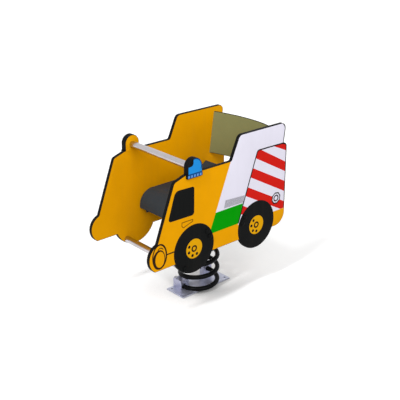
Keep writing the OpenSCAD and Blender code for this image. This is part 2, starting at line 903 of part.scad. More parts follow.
base_plate();
lower_front_clamp();
lower_rear_clamp();
lower_clamp_bolts();
coil_spring();
upper_front_clamp();
upper_rear_clamp();
upper_clamp_bolts();
head_plate();
front_rail();
rear_rail();
left_bearer();
right_bearer();
seat();
seat_bolts();
left_panel();
right_panel();
left_panel_bolts();
right_panel_bolts();
left_bolt_caps();
right_bolt_caps();
left_beacon();
right_beacon();
left_beacon_screws();
right_beacon_screws();
handlebar();
handlebar_plugs();
footrest();
footrest_plugs();
backrest();
left_back_bracket();
right_back_bracket();
left_back_screws();
right_back_screws();
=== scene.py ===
import bpy
import numpy as np
from mathutils import Matrix, Vector
from mathutils.geometry import delaunay_2d_cdt


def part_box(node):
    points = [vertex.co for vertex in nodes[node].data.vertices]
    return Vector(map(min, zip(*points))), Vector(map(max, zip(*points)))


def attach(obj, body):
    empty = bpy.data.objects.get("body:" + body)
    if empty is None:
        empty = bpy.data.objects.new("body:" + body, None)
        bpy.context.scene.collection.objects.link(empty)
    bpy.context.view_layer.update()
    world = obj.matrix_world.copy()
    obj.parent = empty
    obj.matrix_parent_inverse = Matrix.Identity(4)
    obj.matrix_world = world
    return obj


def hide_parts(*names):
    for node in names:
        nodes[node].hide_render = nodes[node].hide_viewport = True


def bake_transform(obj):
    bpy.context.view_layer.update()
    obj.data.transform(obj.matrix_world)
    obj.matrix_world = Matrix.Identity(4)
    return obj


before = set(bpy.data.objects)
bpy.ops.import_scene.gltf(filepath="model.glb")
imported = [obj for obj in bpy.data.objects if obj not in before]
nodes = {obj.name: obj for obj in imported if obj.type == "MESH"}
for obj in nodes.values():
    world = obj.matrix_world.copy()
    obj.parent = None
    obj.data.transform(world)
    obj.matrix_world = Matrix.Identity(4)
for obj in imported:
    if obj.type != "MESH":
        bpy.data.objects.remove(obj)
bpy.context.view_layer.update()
mm = 0.001
print("frame loaded,", len(nodes), "nodes")


# outlines in a flat plane, in mm

def arcPoints(centre, radius, fromDeg, toDeg, count=24):  # centre + radius * (cos, sin) of evenly spaced angles
    a = np.radians(np.linspace(fromDeg, toDeg, count))
    return np.column_stack([centre[0] + radius * np.cos(a), centre[1] + radius * np.sin(a)])


def ovalPoints(centre, wide, high, count=64):  # centre + (wide cos, high sin) once round
    a = np.linspace(0, 2 * np.pi, count, endpoint=False)
    return np.column_stack([centre[0] + wide * np.cos(a), centre[1] + high * np.sin(a)])


def roundCorner(before, corner, after, radius, count=12):  # arc that touches both legs of a corner
    before, corner, after = (np.asarray(p, float) for p in (before, corner, after))
    u = (before - corner) / np.linalg.norm(before - corner)
    v = (after - corner) / np.linalg.norm(after - corner)
    half = np.arccos(np.clip(u @ v, -1, 1)) / 2
    centre = corner + (u + v) / np.linalg.norm(u + v) * radius / np.sin(half)
    p, q = corner + u * radius / np.tan(half) - centre, corner + v * radius / np.tan(half) - centre
    a0 = np.degrees(np.arctan2(p[1], p[0]))
    turn = (np.degrees(np.arctan2(q[1], q[0])) - a0 + 180) % 360 - 180
    return arcPoints(centre, radius, a0, a0 + turn, count)


def roundedPath(points, radii, count=8):  # closed outline, each corner rounded by its own radius
    pts = np.asarray(points, float)
    before, after = np.roll(pts, 1, axis=0), np.roll(pts, -1, axis=0)
    return np.vstack([roundCorner(b, c, a, r, count) if r > 0 else c[None]
                      for b, c, a, r in zip(before, pts, after, radii)])


def rectangle(x0, x1, z0, z1):  # four corners, once round
    return np.array([(x0, z0), (x1, z0), (x1, z1), (x0, z1)], float)


def ribbon(points, width):  # open line widened by half its width to each side
    pts = np.asarray(points, float)
    run = np.gradient(pts, axis=0)
    run /= np.linalg.norm(run, axis=1)[:, None]
    side = np.column_stack([run[:, 1], -run[:, 0]]) * width / 2
    return np.vstack([pts + side, (pts - side)[::-1]])


def pushOut(path, distance, leastMitre=0.3):
    # closed outline moved along the mitre of its two neighbouring edge normals, held short at sharp corners
    edge = np.roll(path, -1, axis=0) - path
    normal = np.column_stack([edge[:, 1], -edge[:, 0]]) / np.linalg.norm(edge, axis=1)[:, None]
    last = np.roll(normal, 1, axis=0)
    mitre = (normal + last) / np.maximum(1 + (normal * last).sum(1), leastMitre)[:, None]
    return path + distance * mitre


def insideOf(points, outline):  # even count of edge crossings to the right means outside
    x, z = points[:, :1], points[:, 1:]
    x0, z0 = outline.T
    x1, z1 = np.roll(outline, -1, axis=0).T
    rise = np.where(z1 == z0, 1.0, z1 - z0)
    return (((z0 > z) != (z1 > z)) & (x < x0 + (z - z0) * (x1 - x0) / rise)).sum(1) % 2 == 1


def tileFace(loop, prints, joinWithin=0.03):
    # triangles between all the outlines, close points joined; each takes the slot of the last print around its middle
    outlines = [loop] + [outline for outline, slot in prints]
    starts = np.cumsum([0] + [len(o) for o in outlines])
    edges = np.vstack([np.column_stack([np.arange(len(o)), np.roll(np.arange(len(o)), -1)]) + s
                       for o, s in zip(outlines, starts)])
    corners = [Vector(p) for p in np.vstack(outlines)]
    flat, _, cells, *_ = delaunay_2d_cdt(corners, edges.tolist(), [], 1, joinWithin, False)  # 1: inside the outlines
    flat, cells = np.array(flat), np.array(cells)
    middle = flat[cells].mean(1)
    keep = insideOf(middle, loop)
    cells, middle = cells[keep], middle[keep]
    slots = np.zeros(len(cells), int)
    for outline, slot in prints:
        slots[insideOf(middle, outline)] = slot
    used, cells = np.unique(cells, return_inverse=True)
    flat, cells = flat[used], cells.reshape(-1, 3)
    # rim points in their order along the loop: nearest edge plus the share run along it
    sides = np.sort(np.vstack([cells[:, [0, 1]], cells[:, [1, 2]], cells[:, [2, 0]]]), axis=1)
    pairs, times = np.unique(sides, axis=0, return_counts=True)
    rim = np.unique(pairs[times == 1])
    step = np.roll(loop, -1, axis=0) - loop
    away = flat[rim][:, None] - loop[None]
    share = np.clip((away * step).sum(2) / (step * step).sum(1), 0, 1)
    far = np.linalg.norm(away - share[..., None] * step, axis=2)
    nearest = far.argmin(1)
    order = np.argsort(nearest + share[np.arange(len(rim)), nearest])
    return flat, cells, slots, rim[order]


def addObject(name, data):
    obj = bpy.data.objects.new(name, data)
    bpy.context.scene.collection.objects.link(obj)
    return obj


def addMesh(name, points, faces, smooth, finishes, sharpAngle=38):  # points in mm; edges past the angle stay sharp
    mesh = bpy.data.meshes.new(name)
    mesh.from_pydata((points * mm).tolist(), [], faces)
    mesh.polygons.foreach_set("use_smooth", smooth)
    mesh.set_sharp_from_angle(angle=np.radians(sharpAngle))
    for finish in finishes:
        mesh.materials.append(finish)
    return addObject(name, mesh)


def boardMesh(name, outline, h0, h1, arris, place, finishes, prints=(),
              backSlot=0, rimSlot=1, wallSlot=None, flip=False):
    # flat board with rounded arrises: printed face at h0, quarter-round rows, wall, quarter-round rows, back at h1
    flat, cells, slots, rim = tileFace(pushOut(outline, -arris), prints)
    turn = np.radians(np.linspace(0, 90, 6))
    toBack = np.sign(h1 - h0)
    push = np.concatenate([arris * np.sin(turn[1:]), arris * np.sin(turn[:0:-1])])
    height = np.concatenate([h0 + toBack * arris * (1 - np.cos(turn[1:])),
                             h1 - toBack * arris * (1 - np.cos(turn[:0:-1]))])
    rows = np.stack([pushOut(flat[rim], d) for d in push])
    count, width = len(flat), len(rim)
    points = np.vstack([np.column_stack([flat, np.full(count, h0)]), np.column_stack([flat, np.full(count, h1)]),
                        np.dstack([rows, np.broadcast_to(height[:, None], rows.shape[:2])]).reshape(-1, 3)])
    index = np.vstack([rim, 2 * count + np.arange(len(push) * width).reshape(-1, width), count + rim])
    ahead = np.roll(index, -1, axis=1)
    quads = np.dstack([index[:-1], index[1:], ahead[1:], ahead[:-1]])
    quadSlots = np.full(quads.shape[:2], rimSlot)
    if wallSlot is not None:
        middle = (flat[rim] + np.roll(flat[rim], -1, axis=0)) / 2
        quadSlots[len(turn) - 1] = wallSlot(middle)
    faces = cells.tolist() + (cells[:, ::-1] + count).tolist() + quads.reshape(-1, 4).tolist()
    if flip:
        faces = [f[::-1] for f in faces]
    smooth = np.arange(len(faces)) >= 2 * len(cells)
    obj = addMesh(name, place(points[:, 0], points[:, 1], points[:, 2]), faces, smooth, finishes)
    faceSlots = np.concatenate([slots, np.full(len(cells), backSlot), quadSlots.ravel()])
    obj.data.polygons.foreach_set("material_index", faceSlots.astype(np.int32))
    # how far each point is rubbed: full on the round of the arris, part on the faces, none on the wall
    wear = obj.data.attributes.new("arris", "FLOAT", "POINT")
    worn = np.concatenate([np.full(2 * count, 0.6), np.repeat(np.sin(2 * np.arcsin(push / arris)), width)])
    wear.data.foreach_set("value", worn.astype(np.float32))
    return obj


def gridMesh(name, points, finish, closedRows=False, capEnds=False):
    # rows of points, closed round each row; rows close on themselves or end in flat fans
    rows, width = points.shape[:2]
    index = np.arange(rows * width).reshape(rows, width)
    if closedRows:
        index = np.vstack([index, index[:1]])
    ahead = np.roll(index, -1, axis=1)
    faces = np.dstack([index[:-1], ahead[:-1], ahead[1:], index[1:]]).reshape(-1, 4).tolist()
    if capEnds:
        faces += [index[0, ::-1].tolist(), index[-1].tolist()]
    return addMesh(name, points.reshape(-1, 3), faces, np.ones(len(faces), bool), [finish])


# node groups and finishes

def tone(r, g, b):  # screen colour, 0 to 255, as scene-linear
    c = np.array([r, g, b]) / 255.0
    return (*np.where(c <= 0.04045, c / 12.92, ((c + 0.055) / 1.055) ** 2.4).tolist(), 1.0)


def put(tree, kind, sockets=None, **settings):  # adds a node; a socket given as an output is linked, else set
    node = tree.nodes.new(kind)
    for key, value in settings.items():
        setattr(node, key, value)
    for key, value in (sockets or {}).items():
        if isinstance(value, bpy.types.NodeSocket):
            tree.links.new(value, node.inputs[key])
        else:
            node.inputs[key].default_value = value
    return node


def mathNode(tree, operation, a, b=0.0):
    return put(tree, "ShaderNodeMath", {0: a, 1: b}, operation=operation).outputs[0]


def sumOf(tree, a, aShare, b, bShare):  # a * aShare + b * bShare
    return mathNode(tree, "ADD", mathNode(tree, "MULTIPLY", a, aShare), mathNode(tree, "MULTIPLY", b, bShare))


def spread(tree, value, low, high, toLow=0.0, toHigh=1.0):
    return put(tree, "ShaderNodeMapRange", {"Value": value, "From Min": low, "From Max": high,
                                            "To Min": toLow, "To Max": toHigh}).outputs[0]


def blendColours(tree, share, a, b):
    return put(tree, "ShaderNodeMix", {0: share, 6: a, 7: b}, data_type="RGBA").outputs[2]


def noise(tree, vector, scale, detail, **sockets):
    return put(tree, "ShaderNodeTexNoise", {"Vector": vector, "Scale": scale, "Detail": detail, **sockets})


def mapped(tree, vector, scale, turn=(0.0, 0.0, 0.0)):
    return put(tree, "ShaderNodeMapping", {"Vector": vector, "Rotation": turn, "Scale": scale}).outputs[0]


def newGroup(name, inputs, outputs):  # every group reads a place on the piece, and some a size
    group = bpy.data.node_groups.new(name, "ShaderNodeTree")
    group.interface.new_socket("Coord", in_out="INPUT", socket_type="NodeSocketVector")
    for label, value in inputs.items():
        group.interface.new_socket(label, in_out="INPUT", socket_type="NodeSocketFloat").default_value = value
    for label in outputs:
        group.interface.new_socket(label, in_out="OUTPUT", socket_type="NodeSocketFloat")
    given = group.nodes.new("NodeGroupInput").outputs
    return group, given, group.nodes.new("NodeGroupOutput").inputs


# pressed skin of a laminate or a coat of powder: fine stipple, and broad patches of tone
skinGroup, given, result = newGroup("pressedSkin", {"Stipple": 900.0}, ["Height", "Patch"])
stipple = noise(skinGroup, given["Coord"], given["Stipple"], 2.0)
peel = put(skinGroup, "ShaderNodeTexVoronoi", {
    "Vector": given["Coord"], "Scale": mathNode(skinGroup, "MULTIPLY", given["Stipple"], 0.35)}, feature="SMOOTH_F1")
patch = noise(skinGroup, given["Coord"], 6.5, 4.0, Roughness=0.62)
skinGroup.links.new(sumOf(skinGroup, stipple.outputs[0], 0.6, peel.outputs["Distance"], 0.5), result["Height"])
skinGroup.links.new(spread(skinGroup, patch.outputs[0], 0.32, 0.7), result["Patch"])

# outdoor use: rain streaks that run down, and short scuffs in two directions
useGroup, given, result = newGroup("outdoorUse", {}, ["Streak", "Scuff"])
rain = noise(useGroup, mapped(useGroup, given["Coord"], (34.0, 34.0, 1.7)), 1.0, 3.0)
useGroup.links.new(spread(useGroup, rain.outputs[0], 0.5, 0.78), result["Streak"])
scuffMasks = []
for tilt in (0.5, -0.9):
    line = noise(useGroup, mapped(useGroup, given["Coord"], (420.0, 420.0, 26.0), (0.2, tilt, 0.3)), 1.0, 1.0)
    scuffMasks.append(spread(useGroup, line.outputs[0], 0.7, 0.78))
area = spread(useGroup, noise(useGroup, given["Coord"], 11.0, 2.0).outputs[0], 0.5, 0.7)
scuff = mathNode(useGroup, "MULTIPLY", mathNode(useGroup, "MAXIMUM", *scuffMasks), area)
useGroup.links.new(scuff, result["Scuff"])

# zinc flowers: cells of their own brightness with faint borders
zincGroup, given, result = newGroup("zincFlowers", {"Size": 120.0}, ["Cell", "Border"])
bent = noise(zincGroup, given["Coord"], 60.0, 2.0)
shifted = put(zincGroup, "ShaderNodeVectorMath", {0: bent.outputs["Color"], 1: (0.006,) * 3}, operation="MULTIPLY")
where = put(zincGroup, "ShaderNodeVectorMath", {0: given["Coord"], 1: shifted.outputs[0]}, operation="ADD")
flower = {"Vector": where.outputs[0], "Scale": given["Size"]}
cell = put(zincGroup, "ShaderNodeTexVoronoi", flower)
border = put(zincGroup, "ShaderNodeTexVoronoi", flower, feature="DISTANCE_TO_EDGE")
grey = put(zincGroup, "ShaderNodeSeparateColor", {"Color": cell.outputs["Color"]})
zincGroup.links.new(grey.outputs[0], result["Cell"])
zincGroup.links.new(spread(zincGroup, border.outputs["Distance"], 0.0, 0.08), result["Border"])

# drawn metal: lines stretched across the rider
drawnGroup, given, result = newGroup("drawnLines", {}, ["Line"])
hair = noise(drawnGroup, mapped(drawnGroup, given["Coord"], (1900.0, 9.0, 1900.0)), 1.0, 3.0)
drawnGroup.links.new(spread(drawnGroup, hair.outputs[0], 0.3, 0.7), result["Line"])
print("node groups built")


def newFinish(name, roughness, metallic=0.0, gloss=0.5):
    finish = bpy.data.materials.new(name)
    finish.use_nodes = True
    shader = finish.node_tree.nodes["Principled BSDF"]
    shader.inputs["Roughness"].default_value = roughness
    shader.inputs["Metallic"].default_value = metallic
    shader.inputs["Specular IOR Level"].default_value = gloss
    coord = put(finish.node_tree, "ShaderNodeTexCoord").outputs["Object"]
    return finish, finish.node_tree, shader, coord


def bumpFrom(tree, shader, height, strength, distance, normal=None):
    sockets = {"Height": height, "Strength": strength, "Distance": distance}
    if normal is not None:
        sockets["Normal"] = normal
    bump = put(tree, "ShaderNodeBump", sockets)
    tree.links.new(bump.outputs[0], shader.inputs["Normal"])


def laminate(name, colour, rough=0.42, darken=0.93, stippleSize=900.0, relief=0.10, gloss=0.025):
    # coloured face of compact laminate: stippled, with faint patches, rain streaks and scuffs
    finish, tree, shader, coord = newFinish(name, rough, gloss=gloss)
    skin = put(tree, "ShaderNodeGroup", {"Coord": coord, "Stipple": stippleSize}, node_tree=skinGroup)
    use = put(tree, "ShaderNodeGroup", {"Coord": coord}, node_tree=useGroup)
    full = np.array(tone(*colour))
    shade = tuple(full[:3] * darken) + (1.0,)
    base = blendColours(tree, skin.outputs["Patch"], tuple(full), shade)
    grime = tuple(full[:3] * 0.86 + np.array([0.012, 0.011, 0.009])) + (1.0,)
    base = blendColours(tree, mathNode(tree, "MULTIPLY", use.outputs["Streak"], 0.3), base, grime)
    tree.links.new(base, shader.inputs["Base Color"])
    rougher = mathNode(tree, "ADD", spread(tree, skin.outputs["Patch"], 0, 1, rough - 0.05, rough + 0.07),
                       mathNode(tree, "MULTIPLY", use.outputs["Scuff"], 0.18))
    tree.links.new(rougher, shader.inputs["Roughness"])
    bumpFrom(tree, shader, skin.outputs["Height"], relief, 0.0006)
    return finish


def boardCore(name, colour, worn):
    # routed edge of the board: pressed layers along the edge, rubbed paler on the arris
    finish, tree, shader, coord = newFinish(name, 0.5, gloss=0.05)
    skin = put(tree, "ShaderNodeGroup", {"Coord": coord}, node_tree=skinGroup)
    layer = noise(tree, mapped(tree, coord, (14.0, 900.0, 14.0)), 1.0, 2.0)
    arris = put(tree, "ShaderNodeAttribute", attribute_name="arris")
    rubbed = mathNode(tree, "MULTIPLY", arris.outputs["Fac"],
                      spread(tree, skin.outputs["Patch"], 0.25, 0.95, 0.05, 0.7))
    tree.links.new(blendColours(tree, rubbed, tone(*colour), tone(*worn)), shader.inputs["Base Color"])
    tree.links.new(spread(tree, layer.outputs[0], 0.3, 0.7, 0.42, 0.6), shader.inputs["Roughness"])
    bumpFrom(tree, shader, layer.outputs[0], 0.25, 0.0005)
    return finish


def powderCoat(name, colour, chipped, rough, gloss, softEdge=0.0):
    # coat of powder on steel: orange peel, dull patches, rounded in shading where edges are machined
    finish, tree, shader, coord = newFinish(name, rough, gloss=gloss)
    skin = put(tree, "ShaderNodeGroup", {"Coord": coord, "Stipple": 420.0}, node_tree=skinGroup)
    use = put(tree, "ShaderNodeGroup", {"Coord": coord}, node_tree=useGroup)
    chips = mathNode(tree, "MULTIPLY", use.outputs["Scuff"], 0.5)
    tree.links.new(blendColours(tree, chips, tone(*colour), tone(*chipped)), shader.inputs["Base Color"])
    tree.links.new(spread(tree, skin.outputs["Patch"], 0, 1, rough - 0.07, rough + 0.1), shader.inputs["Roughness"])
    edge = put(tree, "ShaderNodeBevel", {"Radius": softEdge}, samples=4).outputs[0] if softEdge else None
    bumpFrom(tree, shader, skin.outputs["Height"], 0.22, 0.0008, edge)
    return finish


def galvanised(name, bright, dull, rough, flowers, softEdge):
    # hot-dip zinc: flowers of different brightness, dull patches
    finish, tree, shader, coord = newFinish(name, rough, 0.75)
    zinc = put(tree, "ShaderNodeGroup", {"Coord": coord, "Size": flowers}, node_tree=zincGroup)
    skin = put(tree, "ShaderNodeGroup", {"Coord": coord, "Stipple": 500.0}, node_tree=skinGroup)
    share = sumOf(tree, zinc.outputs["Cell"], 0.3, skin.outputs["Patch"], 0.5)
    tree.links.new(blendColours(tree, share, tone(*bright), tone(*dull)), shader.inputs["Base Color"])
    tree.links.new(spread(tree, zinc.outputs["Cell"], 0, 1, rough - 0.03, rough + 0.05), shader.inputs["Roughness"])
    edge = put(tree, "ShaderNodeBevel", {"Radius": softEdge}, samples=4).outputs[0]
    bumpFrom(tree, shader, zinc.outputs["Border"], 0.04, 0.0003, edge)
    return finish


def drawnSteel(name, colour, dark, rough):
    # stainless tube and bolts: fine drawn lines, fingered patches
    finish, tree, shader, coord = newFinish(name, rough, 1.0)
    drawn = put(tree, "ShaderNodeGroup", {"Coord": coord}, node_tree=drawnGroup)
    skin = put(tree, "ShaderNodeGroup", {"Coord": coord, "Stipple": 700.0}, node_tree=skinGroup)
    share = sumOf(tree, drawn.outputs["Line"], 0.6, skin.outputs["Patch"], 0.4)
    tree.links.new(blendColours(tree, share, tone(*colour), tone(*dark)), shader.inputs["Base Color"])
    tree.links.new(spread(tree, share, 0, 1, rough - 0.06, rough + 0.1), shader.inputs["Roughness"])
    bumpFrom(tree, shader, drawn.outputs["Line"], 0.1, 0.0003)
    return finish


panelYellow = laminate("panelYellow", (234, 161, 0))
# inner faces: the same yellow laminate, set a little lighter as painted light for the shaded inner faces
innerYellowPaintedLight = laminate("innerYellowPaintedLight", (234, 164, 2))
printWhite = laminate("printWhite", (229, 226, 240), darken=0.97)
printGreen = laminate("printGreen", (0, 152, 1))
printRed = laminate("printRed", (210, 30, 22))
printBlack = laminate("printBlack", (18, 19, 19), rough=0.46)
printGrey = laminate("printGrey", (140, 140, 148))
printLine = laminate("printLine", (44, 30, 16))
printOchre = laminate("printOchre", (126, 84, 10))
hubYellow = laminate("hubYellow", (228, 166, 6))
beaconBlue = laminate("beaconBlue", (34, 142, 222), rough=0.36)
beaconPale = laminate("beaconPale", (104, 154, 224), rough=0.36)
beaconDark = laminate("beaconDark", (20, 78, 140), rough=0.4)
seatGrey = laminate("seatGrey", (48, 56, 63), rough=0.5, darken=0.88, stippleSize=620.0, relief=0.3, gloss=0.12)
backOlive = laminate("backOlive", (124, 124, 82), darken=0.92)
coreBlack = boardCore("coreBlack", (13, 13, 13), (38, 36, 34))
springBlack = powderCoat("springBlack", (7, 8, 10), (34, 36, 40), 0.36, 0.06)
frameCharcoal = powderCoat("frameCharcoal", (42, 43, 46), (110, 111, 114), 0.45, 0.3, 0.0012)
capBlack = powderCoat("capBlack", (17, 18, 18), (26, 26, 27), 0.5, 0.025, 0.0008)
capGrey = powderCoat("capGrey", (50, 54, 60), (60, 63, 68), 0.5, 0.12, 0.0008)
zincSkin = galvanised("zincSkin", (198, 201, 218), (158, 162, 182), 0.31, 90.0, 0.0012)
zincBlock = galvanised("zincBlock", (192, 194, 218), (160, 163, 188), 0.3, 120.0, 0.006)
zincBolt = galvanised("zincBolt", (180, 182, 190), (130, 133, 142), 0.36, 260.0, 0.0007)
drawnSkin = drawnSteel("drawnSkin", (206, 201, 203), (166, 161, 164), 0.2)
boltSteel = drawnSteel("boltSteel", (196, 196, 200), (150, 150, 156), 0.32)
print("finishes built")

# side panels: truck outline, printed outside, plain inside in a lighter copy of the yellow that is painted light; x and
# z from the front wheel centre

panelSettings = dict(
    arris=2.6, wheelR=125.0, wheelbase=416.0, sill=-47.0, roof=380.0, boxRoof=498.0,
    tailLen=205.0, tailLean=9.0, tailLowR=66.0, tailTopR=30.0, waist=392.0, waistIn=24.0,
    boxFrontAhead=128.0, boxFrontR=28.0, stepAhead=181.0, stepR=12.0, dome=(-4.0, 412.0), domeR=42.0,
    brow=-50.0, shoulder=-118.0, shoulderDrop=22.0, shoulderR=22.0, pillar=(-221.0, 85.0),
    nose=(-197.0, 15.0), noseR=73.0, noseFrom=109.2, noseTo=238.2,
    # printed on the outer face
    whiteField=[(232.5, 383), (136.6, 143.8), (316.8, 143.8), (286, 37), (660, 37), (660, 530), (200, 530), (200, 384)],
    grilleTop=((200.3, 190.6), (128.4, -8)), grilleLow=((190.4, 150.8), (129.4, -3.5)), grilleBars=24, grilleHalf=1.9,
    greenField=[(136.6, 143.8), (316.8, 143.8), (288, 44), (96, 44)],
    redStripes=[[(517, 393.6), (656, 393.6), (656, 330.7)],
                [(432, 393.6), (656, 266.2), (656, 215.1), (398.4, 356.8), (402.4, 367.7), (406.4, 381.7),
                 (414.3, 390.6), (421.3, 393.6)],
                [(381.5, 310), (656, 163.2), (656, 107.5), (365.5, 265.8)],
                [(348, 219.4), (656, 52), (656, 37.3), (590, 37.3), (332, 178)],
                [(317.5, 130), (397.4, 85), (397.4, 38), (302, 90)]],
    edging=[(289, 44), (318.8, 135.8), (401.4, 365.7)], edgingCorner=(411.3, 393.6), edgingTop=(588, 393.6),
    edgingEnd=(612, 392), edgingR=14, edgingWide=7.0,
    rearIn=2.4, rearFromX=585, rearFromZ=37.3, rearWide=5.2,
    reflector=(554.5, 107), reflectorTurn=13.5, reflectorR=(33, 26), reflectorRing=(18.4, 11.2),
    window=[(0.5, 173), (2, 314), (-112, 317.5), (-158, 176)], windowR=[15, 12, 30, 14],
    pull=[(-74, 152.5), (-75, 136), (-66, 126), (-9, 143), (-9, 152)], pullOut=2.3, pullIn=2.1,
    lampLine=(-172, -118, 18.6, 25.4),
    lampRims=[((-208.5, 24.5), 43.5, 63.5), ((-212.5, 10), 36, 48)],
    lampFaces=[((-209.5, 24), 36, 56), ((-207.4, 9.6), 26.5, 39.5)],
    lampArc=((-204, 49), 17, 20, 150), lampArcWide=4.6,
    hubR=49.6, hubRing=(17.4, 9.0), holeR=7.8, holeRing=35.0,
    frontHoles=(152, 201.5, 251.8, 298),
    rearHoles=(127, 175, 228.7, 273.4), rearTyreR=127.5, rearShift=1.8)  # the rear tyre is printed a little off centre

panelLow, panelHigh = (np.array(corner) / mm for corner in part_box("left_panel"))
frontAxle = (panelLow[0] - (panelSettings["nose"][0] - panelSettings["noseR"]), panelLow[2] + panelSettings["wheelR"])
gapHalf = -panelHigh[1]  # from the middle to the inner face of a panel


def onPanel(u, v, h):  # flat outline to its place beside the rider
    return np.column_stack([frontAxle[0] + u, h, frontAxle[1] + v])


def panelOutline(wheelR, wheelbase, sill, roof, boxRoof, tailLen, tailLean, tailLowR, tailTopR, waist, waistIn,
                 boxFrontAhead, boxFrontR, stepAhead, stepR, dome, domeR, brow, shoulder, shoulderDrop, shoulderR,
                 pillar, nose, noseR, noseFrom, noseTo, **rest):
    # sill and wheels from nose to tail, waist, load box, step, roof, dome, cab shoulder, pillar and round nose
    dip = np.degrees(np.arcsin(-sill / wheelR))
    tail = wheelbase + tailLen
    tailLow, waistOut, waistFoot = (tail, sill), (tail, waist), (tail - waistIn, waist)
    tailTop, boxFront = (tail - tailLean, boxRoof), (wheelbase - boxFrontAhead, boxRoof)
    step, domeRear, domeFront = (wheelbase - stepAhead, roof), (dome[0] + domeR, roof), (dome[0] - domeR, roof)
    cabBrow, cabShoulder = (brow, roof), (shoulder, roof - shoulderDrop)
    return np.vstack([
        arcPoints((0, 0), wheelR, 180 + dip, 360 - dip, 64),
        arcPoints((wheelbase, 0), wheelR, 180 + dip, 360 - dip, 64),
        roundCorner((wheelbase + wheelR, sill), tailLow, waistOut, tailLowR, 28),
        roundCorner(tailLow, waistOut, waistFoot, 0.9 * waistIn, 14), [waistFoot],
        roundCorner(waistFoot, tailTop, boxFront, tailTopR, 18),
        roundCorner(tailTop, boxFront, step, boxFrontR, 14),
        roundCorner(boxFront, step, domeRear, stepR, 10),
        [domeRear], arcPoints(dome, domeR, 0, 180, 48), [domeFront, cabBrow],
        roundCorner(cabBrow, cabShoulder, pillar, shoulderR, 12),
        arcPoints(nose, noseR, noseFrom, noseTo, 48)])


panelFinishes = dict(yellow=panelYellow, core=coreBlack, white=printWhite, black=printBlack, green=printGreen,
                     red=printRed, line=printLine, hub=hubYellow, grey=printGrey, ochre=printOchre, inner=innerYellowPaintedLight)
ink = {name: slot for slot, name in enumerate(panelFinishes)}


def wheelPrint(x, holes, tyreR, shift=0.0):
    # tyre disc, hub, ring round the centre, wheel holes
    s = panelSettings
    rings = [(s["hubR"], 72, "hub"), (s["hubRing"][0], 36, "line"), (s["hubRing"][1], 32, "hub")]
    cells = [(ovalPoints((x - shift, shift), tyreR, tyreR, 128), ink["black"])]
    cells += [(ovalPoints((x, 0), r, r, count), ink[name]) for r, count, name in rings]
    a = np.radians(holes)
    places = np.column_stack([x + s["holeRing"] * np.cos(a), s["holeRing"] * np.sin(a)])
    return cells + [(ovalPoints(p, s["holeR"], s["holeR"], 24), ink["black"]) for p in places]


def panelPrints(outline):
    # printed areas, each over the ones before it
    s = panelSettings
    cells = [(np.array(s["whiteField"], float), ink["white"])]
    share = (np.arange(s["grilleBars"]) + 0.5)[:, None] / s["grilleBars"]
    tops, lows = (np.array([start]) + share * np.array([run]) for start, run in (s["grilleTop"], s["grilleLow"]))
    half = np.array([s["grilleHalf"], 0])
    cells += [(np.array([t + half, t - half, b - half, b + half]), ink["grey"]) for t, b in zip(tops, lows)]
    cells.append((np.array(s["greenField"], float), ink["green"]))
    cells += [(np.array(stripe, float), ink["red"]) for stripe in s["redStripes"]]
    edging = np.vstack([s["edging"], roundCorner(s["edging"][-1], s["edgingCorner"], s["edgingTop"], s["edgingR"], 8),
                        [s["edgingEnd"]]])
    cells.append((ribbon(edging, s["edgingWide"]), ink["black"]))
    rear = pushOut(outline, -s["arris"] - s["rearIn"])
    rear = rear[(rear[:, 0] > s["rearFromX"]) & (rear[:, 1] > s["rearFromZ"])]
    rear = np.vstack([[(rear[0, 0], s["rearFromZ"])], rear])
    cells.append((ribbon(rear, s["rearWide"]), ink["black"]))
    eight = np.radians(np.arange(8) * 45 + s["reflectorTurn"])
    cap = np.column_stack([np.cos(eight), np.sin(eight)])
    middle = np.array(s["reflector"])
    cells += [(middle + r * cap, slot) for r, slot in zip(s["reflectorR"], (ink["black"], ink["white"]))]
    cells += [(ovalPoints(middle, r, r, 40), slot)
              for r, slot in zip(s["reflectorRing"], (ink["black"], ink["white"]))]
    cells.append((roundedPath(s["window"], s["windowR"]), ink["black"]))
    pull = np.array(s["pull"], float)
    cells += [(pushOut(pull, s["pullOut"]), ink["ochre"]), (pushOut(pull, -s["pullIn"]), ink["yellow"])]
    cells.append((rectangle(*s["lampLine"]), ink["line"]))
    for rim, face in zip(s["lampRims"], s["lampFaces"]):
        cells += [(ovalPoints(*rim), ink["line"]), (ovalPoints(*face), ink["yellow"])]
    cells.append((ribbon(arcPoints(*s["lampArc"], 12), s["lampArcWide"]), ink["line"]))
    cells += wheelPrint(0, s["frontHoles"], s["wheelR"])
    cells += wheelPrint(s["wheelbase"], s["rearHoles"], s["rearTyreR"], s["rearShift"])
    return cells


truckOutline = panelOutline(**panelSettings)
truckPrints = panelPrints(truckOutline)
for side, node in ((-1, "left_panel"), (1, "right_panel")):
    low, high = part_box(node)
    outer, inner = (low[1], high[1]) if side < 0 else (high[1], low[1])
    board = boardMesh(node.split("_")[0] + "PanelBoard", truckOutline, outer / mm, inner / mm, panelSettings["arris"],
                      onPanel, panelFinishes.values(), truckPrints, backSlot=ink["inner"], flip=side > 0)
    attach(board, "rider")
    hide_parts(node)
print("side panels built")

# beacons: dome over a ribbed skirt

beaconSettings = dict(
    arris=2.2, dome=panelSettings["dome"], domeR=panelSettings["domeR"],  # the plate covers the panel's own dome
    skirtFrom=-50.0, skirtTo=42.0, skirtLow=361.0, skirtTop=381.0,
    skirtR=[2.5, 3, 3, 2.5], borderR=37.6, borderFrom=-25, borderTo=150, borderWide=4.4,
    lensTop=(-14, 470), lensCorner=(-14, 419), lensSide=[(-70, 414), (-70, 470)], lensR=15,
    skirtPrint=(-60, 60, 350, 384), ribs=(-41, -23.5, -6, 11.5, 29), ribHalf=4.8, ribLow=365.5, ribTop=376.5)


